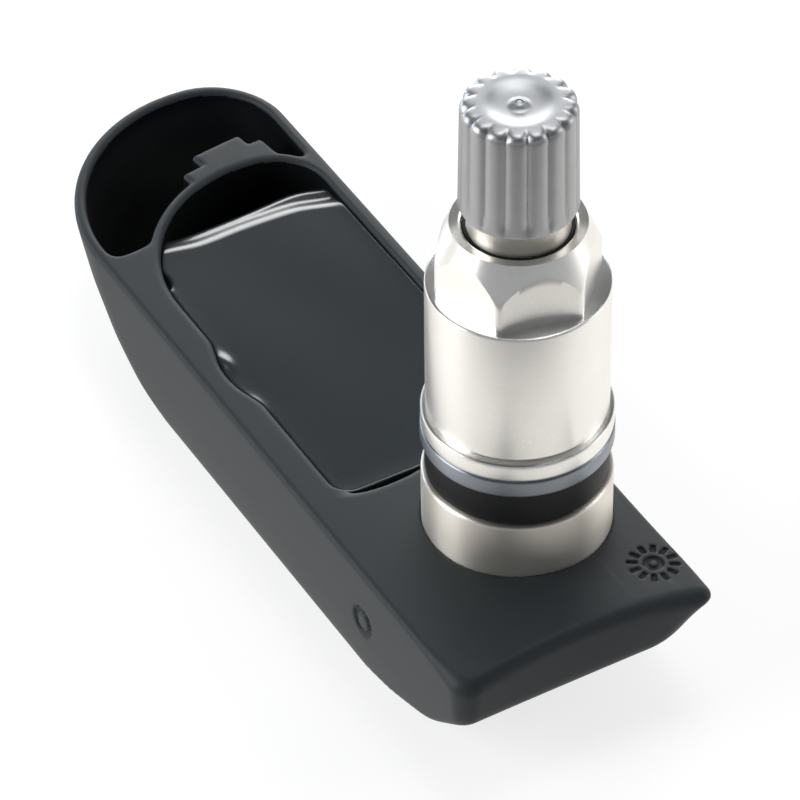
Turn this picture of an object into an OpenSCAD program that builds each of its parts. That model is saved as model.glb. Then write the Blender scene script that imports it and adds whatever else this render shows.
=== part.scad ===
// Clamp-in tyre pressure sensor: a potted electronics housing with its valve stem.
// X runs across the housing, Y runs from the stem towards the rounded toe, Z is the stem axis.
// The origin lies on the stem axis, level with the deck that the stem's collar stands on.

/* [Housing] */
// Overall width of the housing
body_w = 23.3; // [20:0.2:28]
// Height of the side rims above the flat underside
body_h = 11.3; // [9.4:0.1:14]
// Distance from the stem axis to the blunt front edge
front_reach = 15.6; // [14:0.2:20]
// Distance from the stem axis to the tip of the rounded toe
toe_reach = 61.9; // [59:0.1:75]
// How far the stem axis stands to the right of the housing's centre line
stem_offset = 2.75; // [0:0.05:2.8]
// Rise of the crowned deck above the side rims
crown_rise = 0.5; // [0.2:0.1:1]
// Corner radius of the front edge, seen from above
front_r = 1.6; // [1:0.1:3]
// Radius of the tighter, right-hand corner of the toe
toe_corner_r = 7; // [5:0.5:8]
// How far the toe leans over to the right-hand side
toe_lean = 0.8; // [0:0.1:1.6]
// Height of the upright face at the blunt front
lip_h = 4.2; // [2:0.1:5]
// Floor of the housing under the pocket and the toe hollow
floor_t = 1.4; // [1:0.1:1.8]
// Wall round the toe hollow
toe_wall = 0.9; // [0.7:0.1:1.4]

/* [Pocket] */
// Width of the left rim beside the pocket
rim_left = 3.1; // [1.6:0.1:3.4]
// Width of the right rim beside the pocket
rim_right = 1.3; // [1:0.1:2]
// Distance from the stem axis to the front wall of the pocket
pocket_front = 9.3; // [8.6:0.1:12]
// Distance from the toe's tip back to the pocket's rounded end
pocket_to_tip = 12; // [11:0.5:14]
// Thickness of the curved wall between the pocket and the toe hollow
strip_t = 1; // [0.8:0.1:1.4]
// Distance from the pocket's rounded end back to the cross wall that dams the resin
dam_setback = 8.7; // [7.5:0.1:10]
// Thickness of the cross wall
dam_t = 1.2; // [0.8:0.1:1.6]
// Depth of the resin's surface below the side rims
resin_drop = 0.35; // [0.2:0.05:0.8]
// Thickness of the resin's rolled edge over the cross wall
resin_lip = 1.1; // [0.8:0.1:1.4]

/* [Tab and mould marks] */
// Width of the stepped tab behind the curved wall
tab_w = 8.2; // [6:0.2:9]
// Width of each of the tab's shoulders
tab_shoulder = 1.3; // [0.8:0.1:2]
// Reach of the tab's wide step past the curved wall
tab_step = 1.6; // [1:0.1:2.4]
// Reach of the tab's narrow step past the wide one
tab_nose = 1.7; // [1:0.1:2]
// Thickness of the tab
tab_t = 1.5; // [1:0.1:2]
// Diameter of the ring of dashes on the front deck
dial_d = 4.4; // [3:0.2:5]
// Diameter of the ring mark on the left wall
wall_mark_d = 2.8; // [2:0.2:4]
// Depth of the mould marks
mark_depth = 0.25; // [0.1:0.05:0.4]

/* [Valve stem] */
// Diameter of the collar that stands on the deck
collar_d = 15.6; // [15:0.1:16.4]
// Height of the collar above the deck
collar_h = 5.5; // [4:0.1:8]
// Depth of the collar's seat in the deck
collar_seat = 0.4; // [0.2:0.1:0.8]
// Diameter of the stem's root inside the housing
root_d = 11; // [9:0.2:12]
// Depth of the stem's root below the deck
root_depth = 7.9; // [6.5:0.1:8]
// Outside diameter of the stem's main thread
stem_d = 8.05; // [7.9:0.05:8.3]
// Outside diameter of the finer thread under the cap
tip_d = 7.7; // [7.6:0.05:7.8]
// Length of the main thread that shows above the nut's recess
neck_h = 2.6; // [2:0.1:4]
// Length of the finer thread
tip_h = 8.2; // [7:0.1:9]
// Diameter of the air passage
air_d = 3.2; // [2.6:0.1:3.6]
// Diameter of the chamber for the valve core
chamber_d = 5.2; // [5:0.1:5.4]
// Room left in the chamber below the pin when it is pressed
chamber_room = 0.7; // [0.5:0.1:2]
// Diameter of the air hole through the housing's underside
inlet_d = 4.4; // [4:0.1:5]

/* [Seal, washer and nut] */
// Diameter of the rubber grommet
grommet_d = 15; // [14.2:0.1:15.6]
// Height of the rubber grommet
grommet_h = 3.45; // [2.4:0.05:6]
// Diameter of the washer
washer_d = 15.7; // [14.6:0.1:16.4]
// Thickness of the washer
washer_h = 1.5; // [1:0.1:2.4]
// Diameter of the nut's flange
flange_d = 15.6; // [15.4:0.1:16.4]
// Thickness of the nut's flange
flange_h = 2; // [1.4:0.1:3]
// Diameter of the nut's round sleeve
sleeve_d = 14.8; // [14.4:0.1:15.2]
// Overall height of the nut
nut_h = 20.4; // [18:0.1:24]
// Width of the nut's hexagon across its flats
hex_af = 12; // [11.6:0.1:12.6]
// Height of the nut's hexagon
hex_h = 5.9; // [4:0.1:7]
// Turn of the hexagon about the stem axis
hex_turn = 16; // [0:1:59]
// Depth of the recess in the nut's top
recess_depth = 0.7; // [0.6:0.1:1.2]
// Thickness of the rubber ring in the nut's recess
ring_t = 0.4; // [0.3:0.05:0.5]

/* [Cap] */
// Diameter over the cap's flutes at its foot
cap_d = 9.5; // [9:0.1:10.4]
// Diameter over the cap's flutes at its crown
cap_top_d = 9.2; // [9:0.1:10]
// Height of the cap
cap_h = 10; // [10:0.1:13]
// Number of flutes
flute_count = 16; // [12:1:20]
// Depth of each flute
flute_depth = 0.34; // [0.2:0.02:0.4]
// Radius of each flute's hollow
flute_r = 0.46; // [0.42:0.02:0.6]
// Thickness of the rubber disc inside the cap
cap_gasket_h = 0.7; // [0.5:0.1:0.8]

/* [Valve core] */
// Diameter of the core's threaded plug
plug_d = 5; // [4.6:0.1:5]
// Height of the threaded plug
plug_h = 4; // [3:0.2:5]
// Diameter of the core's barrel
barrel_d = 3.9; // [3.6:0.1:4.4]
// Height of the barrel
barrel_h = 6; // [5.6:0.2:7]
// Diameter of the core's pin
pin_d = 1; // [0.8:0.05:1.2]
// Travel of the pin when it is pressed
pin_travel = 1.2; // [0.8:0.1:1.4]
// Turns of the return spring
spring_turns = 5; // [4:1:7]
// Diameter of the spring's wire
spring_wire = 0.3; // [0.2:0.05:0.35]

/* [Electronics] */
// Thickness of the circuit board
board_t = 0.8; // [0.6:0.1:1]
// Clearance from the board's edge to the pocket walls
board_margin = 0.7; // [0.4:0.1:1]
// Clearance from the battery cell to the pocket's side walls
cell_margin = 1.45; // [1.4:0.05:3]
// Thickness of the battery cell
cell_h = 3.2; // [2:0.1:3.2]
// Thickness of the battery's straps
strap_t = 0.2; // [0.15:0.05:0.3]
// Side of the square pressure sensor
sensor_side = 5; // [4:0.2:6]
// Height of the pressure sensor
sensor_h = 1.9; // [1.6:0.1:2.2]
// Diameter of the pressure port in the underside
port_d = 1.6; // [1:0.1:2]
// Side of the square control chip
chip_side = 5; // [4:0.2:6]
// Length of the low-frequency coil
coil_l = 7; // [6:0.2:8]
// Diameter of the antenna wire
antenna_d = 0.7; // [0.5:0.1:0.9]

/* [Clearances] */
// Gap between moulded or potted pieces and what they hold
seat_gap = 0.03; // [0.02:0.01:0.05]
// Radial clearance of threads and sliding fits
thread_gap = 0.06; // [0.04:0.01:0.08]
// Gap between soft rubber and the pieces that pass through it
rubber_gap = 0.1; // [0.05:0.05:0.15]

/* [Hidden] */

ROUND = 96;
ARC_STEPS = 14;
FINE = 32;
EPS = 0.01;
BEYOND = 1;

// Housing outline
body_left = -stem_offset - body_w / 2;
body_right = body_w / 2 - stem_offset;
body_mid = (body_left + body_right) / 2;
deck_z = body_h + crown_rise;
crown_r = (pow(body_w / 2, 2) + pow(crown_rise, 2)) / (2 * crown_rise);

// Each level of the outer form: height, inset, run of the bow, run of the toe, corner radius
bow_run = 17;
toe_run = 13.9;
edge_round = 0.35;
lip_z = body_h - lip_h;
LEVELS = [
    [0, 0.6, bow_run, toe_run, front_r + 2.4],
    [0.16 * lip_z, 0.2, 0.71 * bow_run, 0.68 * toe_run, front_r + 1.8],
    [0.51 * lip_z, 0.05, 0.29 * bow_run, 0.42 * toe_run, front_r + 1],
    [lip_z, 0, 0.01 * bow_run, 0.18 * toe_run, front_r],
    [body_h - edge_round, 0, 0, 0, front_r],
    [deck_z + EPS, edge_round, 0, 0, front_r]
];
TOP_LEVEL = len(LEVELS) - 1;

// Pocket
pocket_left = body_left + rim_left;
pocket_right = body_right - rim_right;
pocket_end = toe_reach - pocket_to_tip;
pocket_corner_r = toe_corner_r - 2;
pocket_front_r = 1.8;
pocket_mid = (pocket_left + pocket_right) / 2;
dam_y = pocket_end - dam_setback;
resin_z = body_h - resin_drop;
dam_top = resin_z - resin_lip;
floor_z = floor_t;
bay_w = pocket_right - pocket_left;
notch_y = 26.6;
notch_depth = 0.9;
notch_chord = 8;
notch_r = (pow(notch_chord / 2, 2) + pow(notch_depth, 2)) / (2 * notch_depth);

// Toe hollow: its left end is broad and round, and its right end runs out in a narrow tip
hollow_front = pocket_end - 1.2;
horn_left_r = 1.5;
horn_right_r = 0.5;
tab_x = body_mid + 3.7;
tab_turn = 8;
tab_root = 1;

// Mould marks
dash_count = 12;
dash_l = 0.9;
dash_w = 0.44;
dial_hub_d = 1.7;
dial_x = body_right - dial_d / 2 - 0.3;
dial_y = dial_d / 2 + 2.7 - front_reach;
mark_line = 0.5;
wall_mark_z = 0.52 * body_h;
wall_mark_y = 0.4;

// Stem stack, from the deck upwards
root_z = deck_z - root_depth;
root_groove_z = root_z + 2.6;
root_groove_h = 1.6;
root_groove_d = 0.7;
collar_top = deck_z + collar_h;
grommet_top = collar_top + grommet_h;
washer_top = grommet_top + washer_h;
nut_top = washer_top + nut_h;
hex_z = nut_top - hex_h;
recess_z = nut_top - recess_depth;
recess_d = stem_d + 2 * ring_t + 4 * seat_gap;
neck_top = recess_z + neck_h;
stem_top = neck_top + tip_h;
groove_w = 0.35;
groove_d = 0.3;
chamfer = 0.4;
edge_c = 0.25;
hex_corner_c = 0.85;
hex_crown_drop = 1.2;
hex_crown_c = 0.15;
recess_c = 0.2;

// Cap, screwed down until its rubber disc meets the stem's mouth
cap_z = neck_top + seat_gap;
cap_bore_top = stem_top + cap_gasket_h + 2 * seat_gap;
dome_r = 1.1;
dish_r = 2.6;
dish_depth = 0.4;
dish_slope = 0.7;
pip_r = 1;

// Valve core
plug_top = stem_top - 0.6;
plug_z = plug_top - plug_h;
barrel_z = plug_z - barrel_h;
plug_bore_d = 1.9;
barrel_bore_d = 2.6;
barrel_lip_h = 0.8;
gasket_h = 1.6;
spring_z = barrel_z + barrel_lip_h;
spring_d = barrel_bore_d - 0.25;
pin_collar_h = 0.6;
pin_collar_z = plug_z - 0.7 - pin_collar_h;
pin_tip_z = plug_top + 0.5;
cup_h = 1.2;
cup_d = 3;
cup_z = barrel_z - seat_gap - cup_h;
pin_head_d = 1.8;
pin_head_h = 0.3;
chamber_z = cup_z - pin_head_h - pin_travel - chamber_room;

// Electronics, with the cell as large as the pocket allows across and along
sensor_x = pocket_mid - 0.6 * sensor_side;
sensor_y = pocket_front + sensor_side / 2 + 2.1;
cell_setback = 1;
cell_x = pocket_mid;
cell_d = min(bay_w - 2 * cell_margin, dam_y - cell_setback - sensor_y - sensor_side / 2 - board_margin);
cell_y = dam_y - cell_setback - cell_d / 2;
cell_z = floor_z + 0.3 + strap_t;
can_step = 0.8;
board_z = cell_z + cell_h + strap_t + 2 * seat_gap;
board_w = bay_w - 2 * board_margin;
board_front = pocket_front + board_margin;
board_end = dam_y - board_margin;
board_y = (board_front + board_end) / 2;
board_top = board_z + board_t;
board_hole_d = 1.2;
board_hole_inset = 1.6;
mounted_z = board_top + seat_gap;
sensor_z = board_z - sensor_h - seat_gap;
port_seal_z = floor_z + seat_gap;
port_seal_d = 4;
part_gap = 1.3;
chip_y = pocket_front + chip_side / 2 + 4.5;
chip_h = 1;
crystal_size = [3.2, 2.5, 0.8];
crystal_y = chip_y + chip_side / 2 + part_gap + crystal_size[1] / 2;
coil_side = 1.6;
coil_plate = 0.8;
coil_rim = 0.7;
coil_foot = 0.3;
coil_turns_t = 0.5;
coil_room_h = coil_side + max(coil_rim, coil_foot + coil_turns_t);
coil_y = pocket_front + coil_l / 2 + 4.5;
capacitor_size = [1.6, 0.8, 0.7];
capacitor_count = 5;
capacitor_pitch = [2, 2.2];
capacitor_y = coil_y + coil_l / 2 + part_gap + capacitor_size[1] / 2;
antenna_inset = 1;
antenna_bend = 3;
antenna_x = board_w / 2 - antenna_inset;
antenna_end = board_end - antenna_inset;
antenna_z = mounted_z + antenna_d / 2;
antenna_inside = antenna_x - antenna_d / 2;
chip_x = pocket_mid + antenna_inside - part_gap - chip_side / 2;
coil_x = pocket_mid - antenna_inside + part_gap + coil_side / 2 + coil_rim;
capacitor_x = pocket_mid - antenna_inside + part_gap / 3 + capacitor_size[0] / 2;
strap_w = 3;
strap_inset = [1, 1.4];

// Points along an arc about a centre
function arc(c, r, a0, a1, n = ARC_STEPS) =
    [for (i = [0:n]) c + r * [cos(a0 + (a1 - a0) * i / n), sin(a0 + (a1 - a0) * i / n)]];

// Boat outline: two front corners, then a toe of two arcs that meet on one tangent
function boat(x0, x1, y0, y1, front_corner, right_corner) =
    let (left_r = x1 - x0 - right_corner - toe_lean)
    let (rise = sqrt(max(0, pow(left_r - right_corner, 2) - pow(toe_lean, 2))))
    let (c_left = [x0 + left_r, y1 - left_r])
    let (c_right = [x1 - right_corner, y1 - left_r + rise])
    let (meet = atan2(rise, toe_lean))
    concat(
        arc([x0 + front_corner, y0 + front_corner], front_corner, 180, 270, 6),
        arc([x1 - front_corner, y0 + front_corner], front_corner, 270, 360, 6),
        arc(c_right, right_corner, 0, meet),
        arc(c_left, left_r, meet, 180)
    );

// Rings of a round wire along a list of points, as the points and faces of one closed sweep
function unit(v) = v / norm(v);
function heading(p, i) = unit(p[min(i + 1, len(p) - 1)] - p[max(i - 1, 0)]);
function wire_ring(c, t, r, sides) =
    let (side = unit(cross(t, abs(t[2]) > 0.9 ? [1, 0, 0] : [0, 0, 1])))
    let (up = cross(side, t))
    [for (k = [0:sides - 1]) c + r * (cos(360 * k / sides) * side + sin(360 * k / sides) * up)];

module wire(path, d, sides = 8) {
    n = len(path);
    pts = [for (i = [0:n - 1]) each wire_ring(path[i], heading(path, i), d / 2, sides)];
    walls = [for (i = [0:n - 2], k = [0:sides - 1])
        let (a = i * sides, b = (k + 1) % sides) [a + k, a + b, a + sides + b, a + sides + k]];
    ends = [[for (k = [sides - 1:-1:0]) k], [for (k = [0:sides - 1]) (n - 1) * sides + k]];
    polyhedron(points = pts, faces = concat(walls, ends), convexity = 6);
}

// Heights are counted from the underside, and each piece is then lowered so that the deck is zero
module from_deck() {
    translate([0, 0, -deck_z]) children();
}

// Plain solids on the stem axis
module disc(d, z0, z1) {
    translate([0, 0, z0]) cylinder(d = d, h = z1 - z0, $fn = ROUND);
}

module tube(d_out, d_in, z0, z1) {
    difference() {
        disc(d_out, z0, z1);
        disc(d_in, z0 - BEYOND, z1 + BEYOND);
    }
}

// A disc with both of its edges bevelled
module bevelled_disc(d, z0, z1, c) {
    translate([0, 0, z0])
        rotate_extrude($fn = ROUND)
            polygon([[0, 0], [d / 2 - c, 0], [d / 2, c],
                [d / 2, z1 - z0 - c], [d / 2 - c, z1 - z0], [0, z1 - z0]]);
}

module block(size, x, y, z) {
    translate([x - size[0] / 2, y - size[1] / 2, z]) cube(size);
}

// Hull of the levels; shrink draws every wall inwards, and base is where the inner form starts
module body_form(shrink = 0, base = 0) {
    hull() {
        for (i = [0:TOP_LEVEL]) {
            level = LEVELS[i];
            open_top = i == TOP_LEVEL && shrink > 0;
            inset = shrink + (open_top ? 0 : level[1]);
            translate([0, 0, open_top ? deck_z + BEYOND : base + level[0] * (1 - base / body_h)])
                linear_extrude(EPS)
                    polygon(boat(
                        body_left + inset, body_right - inset,
                        level[2] - front_reach + shrink, toe_reach - level[3] - inset,
                        level[4], toe_corner_r - inset
                    ));
        }
    }
}

module crown_cut() {
    translate([body_mid, -front_reach - BEYOND, deck_z - crown_r])
        rotate([-90, 0, 0])
            cylinder(r = crown_r, h = front_reach + toe_reach + 2 * BEYOND, $fn = 720);
}

module pocket_outline(gap) {
    polygon(boat(
        pocket_left + gap, pocket_right - gap, pocket_front + gap, pocket_end - gap,
        pocket_front_r, pocket_corner_r - gap
    ));
    intersection() {
        translate([pocket_left - notch_depth + notch_r, notch_y]) circle(r = notch_r - gap, $fn = ROUND);
        translate([pocket_left - 2 * notch_depth, notch_y - notch_chord])
            square([4 * notch_depth, 2 * notch_chord]);
    }
}

// Room between the toe's wall and the curved wall, with one radius at each end
module hollow_outline() {
    for (side = [0, 1]) {
        intersection() {
            rounded_room(side == 0 ? horn_left_r : horn_right_r);
            translate([side == 0 ? tab_x - body_w : tab_x, 0]) square([body_w, toe_reach + BEYOND]);
        }
    }
}

module rounded_room(r) {
    offset(r = r, $fn = 48) offset(r = -r, $fn = 48) difference() {
        polygon(boat(
            body_left + toe_wall, body_right - toe_wall, hollow_front, toe_reach - toe_wall,
            EPS, toe_corner_r - toe_wall
        ));
        polygon(boat(
            pocket_left - strip_t, pocket_right + strip_t, pocket_front, pocket_end + strip_t,
            pocket_front_r, pocket_corner_r + strip_t
        ));
    }
}

module stepped_tab() {
    reach = tab_root + strip_t + tab_step;
    tab_h = tab_t + crown_rise + BEYOND;
    translate([tab_x, pocket_end - tab_root, body_h - tab_t])
        rotate([0, 0, tab_turn]) {
            translate([-tab_w / 2, 0, 0]) cube([tab_w, reach, tab_h]);
            translate([tab_shoulder - tab_w / 2, 0, 0])
                cube([tab_w - 2 * tab_shoulder, reach + tab_nose, tab_h]);
        }
}

module dial_mark() {
    tall = crown_rise + BEYOND;
    translate([dial_x, dial_y, body_h - mark_depth]) {
        for (i = [0:dash_count - 1]) {
            rotate([0, 0, 360 * i / dash_count])
                translate([dial_d / 2 - dash_l, -dash_w / 2, 0]) cube([dash_l, dash_w, tall]);
        }
        difference() {
            cylinder(d = dial_hub_d, h = tall, $fn = FINE);
            translate([0, 0, -EPS]) cylinder(d = dial_hub_d - 2 * mark_line, h = tall + BEYOND, $fn = FINE);
        }
    }
}

module wall_mark() {
    translate([body_left - BEYOND, wall_mark_y, wall_mark_z])
        rotate([0, 90, 0])
            difference() {
                cylinder(d = wall_mark_d, h = BEYOND + mark_depth, $fn = FINE);
                translate([0, 0, -EPS]) cylinder(d = wall_mark_d - 2 * mark_line, h = 2 * BEYOND, $fn = FINE);
            }
}

module housing() {
    color("#2f363a") from_deck() difference() {
        intersection() {
            union() {
                difference() {
                    body_form();
                    intersection() {
                        body_form(toe_wall, floor_t);
                        linear_extrude(deck_z + BEYOND) union() {
                            pocket_outline(0);
                            hollow_outline();
                        }
                    }
                }
                translate([pocket_left - rim_right / 2, dam_y, floor_z - floor_t / 2])
                    cube([bay_w + rim_right, dam_t, dam_top - floor_z + floor_t / 2]);
                stepped_tab();
            }
            crown_cut();
        }
        disc(inlet_d, -BEYOND, deck_z);
        disc(root_d + 2 * seat_gap, root_z - seat_gap, deck_z + BEYOND);
        disc(collar_d + 2 * seat_gap, deck_z - collar_seat, deck_z + 2 * BEYOND);
        translate([sensor_x, sensor_y, -BEYOND]) cylinder(d = port_d, h = floor_z + 2 * BEYOND, $fn = FINE);
        dial_mark();
        wall_mark();
    }
}

// What the resin is poured round, each piece with its gap
module potted_room() {
    g = seat_gap;
    round_piece = [2 * g, 2 * g, 2 * g];
    block([board_w, board_end - board_front, board_t] + round_piece, pocket_mid, board_y, board_z - g);
    translate([cell_x, cell_y, cell_z - strap_t - 3 * g])
        cylinder(d = cell_d + 2 * g, h = cell_h + 2 * strap_t + 5 * g, $fn = ROUND);
    block([sensor_side, sensor_side, board_z - floor_z] + round_piece, sensor_x, sensor_y, floor_z - g);
    block([chip_side, chip_side, chip_h] + round_piece, chip_x, chip_y, board_top);
    block(crystal_size + round_piece, chip_x, crystal_y, board_top);
    block([coil_side + 2 * coil_rim, coil_l, coil_room_h] + round_piece, coil_x, coil_y, board_top);
    for (i = [0:capacitor_count - 1]) {
        block(capacitor_size + round_piece, capacitor_at(i)[0], capacitor_at(i)[1], board_top);
    }
    wire(antenna_path(g), antenna_d + 4 * g);
}

module potting_resin() {
    roll_d = resin_lip - seat_gap;
    color("#3a4045") from_deck() difference() {
        intersection() {
            body_form(toe_wall + seat_gap, floor_t + seat_gap);
            linear_extrude(resin_z) pocket_outline(seat_gap);
            union() {
                translate([body_left, 0, 0]) cube([body_w, dam_y - seat_gap, resin_z]);
                translate([body_left, dam_y - 2 * seat_gap, dam_top + seat_gap])
                    cube([body_w, dam_t, roll_d]);
                translate([body_left, dam_y + dam_t - 2 * seat_gap, dam_top + seat_gap + roll_d / 2])
                    rotate([0, 90, 0]) cylinder(d = roll_d, h = body_w, $fn = FINE);
            }
        }
        potted_room();
    }
}

function capacitor_at(i) =
    [capacitor_x + capacitor_pitch[0] * (i % 3), capacitor_y + capacitor_pitch[1] * floor(i / 3)];

// A flat loop of wire along the sides and the end of the board, with its ends drawn out by more
function antenna_path(more = 0) =
    let (x0 = pocket_mid - antenna_x, x1 = pocket_mid + antenna_x, r = antenna_bend)
    let (flat = concat(
        [[x0, coil_y - more]],
        arc([x0 + r, antenna_end - r], r, 180, 90, 5),
        arc([x1 - r, antenna_end - r], r, 90, 0, 5),
        [[x1, coil_y - more]]
    ))
    [for (p = flat) [p[0], p[1], antenna_z]];

module circuit_board() {
    color("#1f6b3a") from_deck() difference() {
        block([board_w, board_end - board_front, board_t], pocket_mid, board_y, board_z);
        for (side = [-1, 1]) {
            hole_x = pocket_mid + side * (board_w / 2 - board_hole_inset);
            translate([hole_x, board_front + board_hole_inset, 0])
                cylinder(d = board_hole_d, h = board_top + BEYOND, $fn = FINE);
        }
    }
}

module battery_cell() {
    color("#c3c6c8") from_deck() translate([cell_x, cell_y, 0]) {
        bevelled_disc(cell_d, cell_z + can_step, cell_z + cell_h, edge_c);
        disc(cell_d - 2 * can_step, cell_z, cell_z + cell_h / 2);
    }
}

// A welded strap across one face of the cell
module strap(inset, z) {
    from_deck() block([strap_w, cell_d - 2 * inset, strap_t], cell_x, cell_y, z);
}

module battery_strap_top() {
    color("#d0cdbf") strap(strap_inset[0], cell_z + cell_h + seat_gap);
}

module battery_strap_bottom() {
    color("#d0cdbf") strap(strap_inset[1], cell_z - strap_t - seat_gap);
}

module pressure_sensor() {
    color("#2a2a2c") from_deck() difference() {
        block([sensor_side, sensor_side, sensor_h], sensor_x, sensor_y, sensor_z);
        translate([sensor_x, sensor_y, sensor_z - BEYOND])
            cylinder(d = port_d, h = BEYOND + sensor_h / 2, $fn = FINE);
    }
}

module port_seal() {
    color("#5a2f2a") from_deck() translate([sensor_x, sensor_y, 0])
        tube(port_seal_d, port_d, port_seal_z, sensor_z - seat_gap);
}

module control_chip() {
    color("#222326") from_deck() block([chip_side, chip_side, chip_h], chip_x, chip_y, mounted_z);
}

module clock_crystal() {
    color("#b9bcbe") from_deck() block(crystal_size, chip_x, crystal_y, mounted_z);
}

module chip_capacitors() {
    color("#b48a5a") from_deck() for (i = [0:capacitor_count - 1]) {
        block(capacitor_size, capacitor_at(i)[0], capacitor_at(i)[1], mounted_z);
    }
}

// Drum-shaped ferrite: a square core between two end plates
module coil_core() {
    color("#4a4a4d") from_deck() {
        block([coil_side, coil_l, coil_side], coil_x, coil_y, mounted_z + coil_foot);
        for (side = [-1, 1]) {
            block([coil_side + 2 * coil_rim, coil_plate, coil_side + coil_rim],
                coil_x, coil_y + side * (coil_l - coil_plate) / 2, mounted_z);
        }
    }
}

module coil_winding() {
    wound = coil_side + 2 * coil_turns_t;
    inner = coil_side + 2 * seat_gap;
    color("#b5683a") from_deck() difference() {
        block([wound, coil_l - 2 * coil_plate - 2 * seat_gap, wound - (coil_turns_t - coil_foot + seat_gap)],
            coil_x, coil_y, mounted_z + seat_gap);
        block([inner, coil_l, inner], coil_x, coil_y, mounted_z + coil_foot - seat_gap);
    }
}

module antenna_loop() {
    color("#c8a45a") from_deck() wire(antenna_path(), antenna_d);
}

module valve_stem() {
    color("#c9c4ba") from_deck() difference() {
        union() {
            disc(root_d, root_z, deck_z);
            bevelled_disc(collar_d, deck_z - collar_seat, collar_top, edge_c);
            bevelled_disc(stem_d, collar_top - BEYOND, neck_top, edge_c / 2);
            bevelled_disc(tip_d, neck_top - BEYOND, stem_top, chamfer);
        }
        disc(air_d, root_z - BEYOND, chamber_z + BEYOND);
        disc(chamber_d, chamber_z, stem_top + BEYOND);
        tube(root_d + 2, root_d - 2 * root_groove_d, root_groove_z, root_groove_z + root_groove_h);
    }
}

module grommet() {
    color("#15171b") from_deck() difference() {
        bevelled_disc(grommet_d, collar_top, grommet_top, edge_c);
        disc(stem_d + 2 * rubber_gap, collar_top - BEYOND, grommet_top + BEYOND);
    }
}

module washer() {
    color("#6f7784") from_deck() difference() {
        bevelled_disc(washer_d, grommet_top, washer_top, edge_c / 2);
        disc(stem_d + 2 * rubber_gap, grommet_top - BEYOND, washer_top + BEYOND);
    }
}

module nut() {
    flange_top = washer_top + flange_h;
    corner_r = hex_af / 2 + hex_corner_c;
    color("#dcdcd8") from_deck() difference() {
        union() {
            bevelled_disc(flange_d, washer_top, flange_top, edge_c);
            disc(sleeve_d - 2 * groove_d, flange_top - EPS, flange_top + groove_w);
            bevelled_disc(sleeve_d, flange_top + groove_w, hex_z, edge_c);
            intersection() {
                rotate([0, 0, hex_turn - 30])
                    translate([0, 0, hex_z - EPS]) cylinder(d = hex_af / cos(30), h = hex_h + EPS, $fn = 6);
                translate([0, 0, hex_z - EPS])
                    rotate_extrude($fn = ROUND)
                        polygon([[0, 0], [corner_r, 0], [corner_r, hex_h - hex_crown_drop],
                            [hex_af / 2 - hex_crown_c, hex_h + EPS], [0, hex_h + EPS]]);
            }
        }
        disc(stem_d + 2 * thread_gap, washer_top - BEYOND, nut_top + BEYOND);
        translate([0, 0, recess_z])
            rotate_extrude($fn = ROUND)
                polygon([[0, 0], [recess_d / 2, 0], [recess_d / 2, recess_depth - recess_c],
                    [recess_d / 2 + recess_c + EPS, recess_depth + EPS], [0, recess_depth + EPS]]);
    }
}

module neck_ring() {
    color("#0e0f11") from_deck() translate([0, 0, recess_z + seat_gap])
        rotate_extrude($fn = ROUND)
            translate([stem_d / 2 + seat_gap + ring_t / 2, ring_t / 2]) circle(d = ring_t, $fn = 24);
}

module core_body() {
    color("#c9a24a") from_deck() difference() {
        union() {
            disc(plug_d, plug_z, plug_top);
            disc(barrel_d, barrel_z, plug_z + EPS);
        }
        disc(plug_bore_d, barrel_z - BEYOND, plug_top + BEYOND);
        disc(barrel_bore_d, spring_z, plug_z);
    }
}

module core_gasket() {
    color("#7a2f26") from_deck()
        tube(chamber_d - 2 * seat_gap, barrel_d + 2 * seat_gap, plug_z - gasket_h, plug_z - seat_gap);
}

module core_pin() {
    color("#d3b45c") from_deck() {
        disc(pin_d, cup_z, pin_tip_z);
        disc(barrel_bore_d - 2 * thread_gap, pin_collar_z, pin_collar_z + pin_collar_h);
        disc(pin_head_d, cup_z - pin_head_h, cup_z);
    }
}

module core_cup_seal() {
    color("#1d1d1f") from_deck() tube(cup_d, pin_d + 2 * seat_gap, cup_z + seat_gap, cup_z + cup_h);
}

module core_spring() {
    coil_r = (spring_d - spring_wire) / 2;
    span = pin_collar_z - spring_z - spring_wire - 2 * seat_gap;
    steps = 14 * spring_turns;
    path = [for (i = [0:steps]) let (a = 360 * spring_turns * i / steps)
        [coil_r * cos(a), coil_r * sin(a), spring_z + seat_gap + spring_wire / 2 + span * i / steps]];
    color("#b8bcc0") from_deck() wire(path, spring_wire, 6);
}

// Hollows of the flutes, leaning with the cap's taper
module flutes() {
    lean = atan2((cap_d - cap_top_d) / 2, cap_h);
    for (i = [0:flute_count - 1]) {
        rotate([0, 0, 360 * i / flute_count])
            translate([cap_d / 2 + flute_r - flute_depth, 0, cap_z])
                rotate([0, -lean, 0])
                    translate([0, 0, -BEYOND]) cylinder(r = flute_r, h = cap_h + 3 * BEYOND, $fn = 24);
    }
}

module cap_shell() {
    color("#7f8183") from_deck() difference() {
        translate([0, 0, cap_z])
            rotate_extrude($fn = ROUND)
                polygon(concat(
                    [[0, 0], [cap_d / 2 - edge_c, 0], [cap_d / 2, edge_c]],
                    arc([cap_top_d / 2 - dome_r, cap_h - dome_r], dome_r, 0, 90, 6),
                    [[dish_r, cap_h], [dish_r - dish_slope, cap_h - 0.75 * dish_depth]],
                    [[pip_r, cap_h - dish_depth], [0.7 * pip_r, cap_h - 0.4 * dish_depth]],
                    [[0.3 * pip_r, cap_h], [0, cap_h]]
                ));
        flutes();
        disc(tip_d + 2 * thread_gap, cap_z - BEYOND, cap_bore_top);
    }
}

module cap_gasket() {
    color("#1a1a1c") from_deck()
        disc(tip_d - 2 * rubber_gap, stem_top + seat_gap, stem_top + seat_gap + cap_gasket_h);
}

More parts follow.
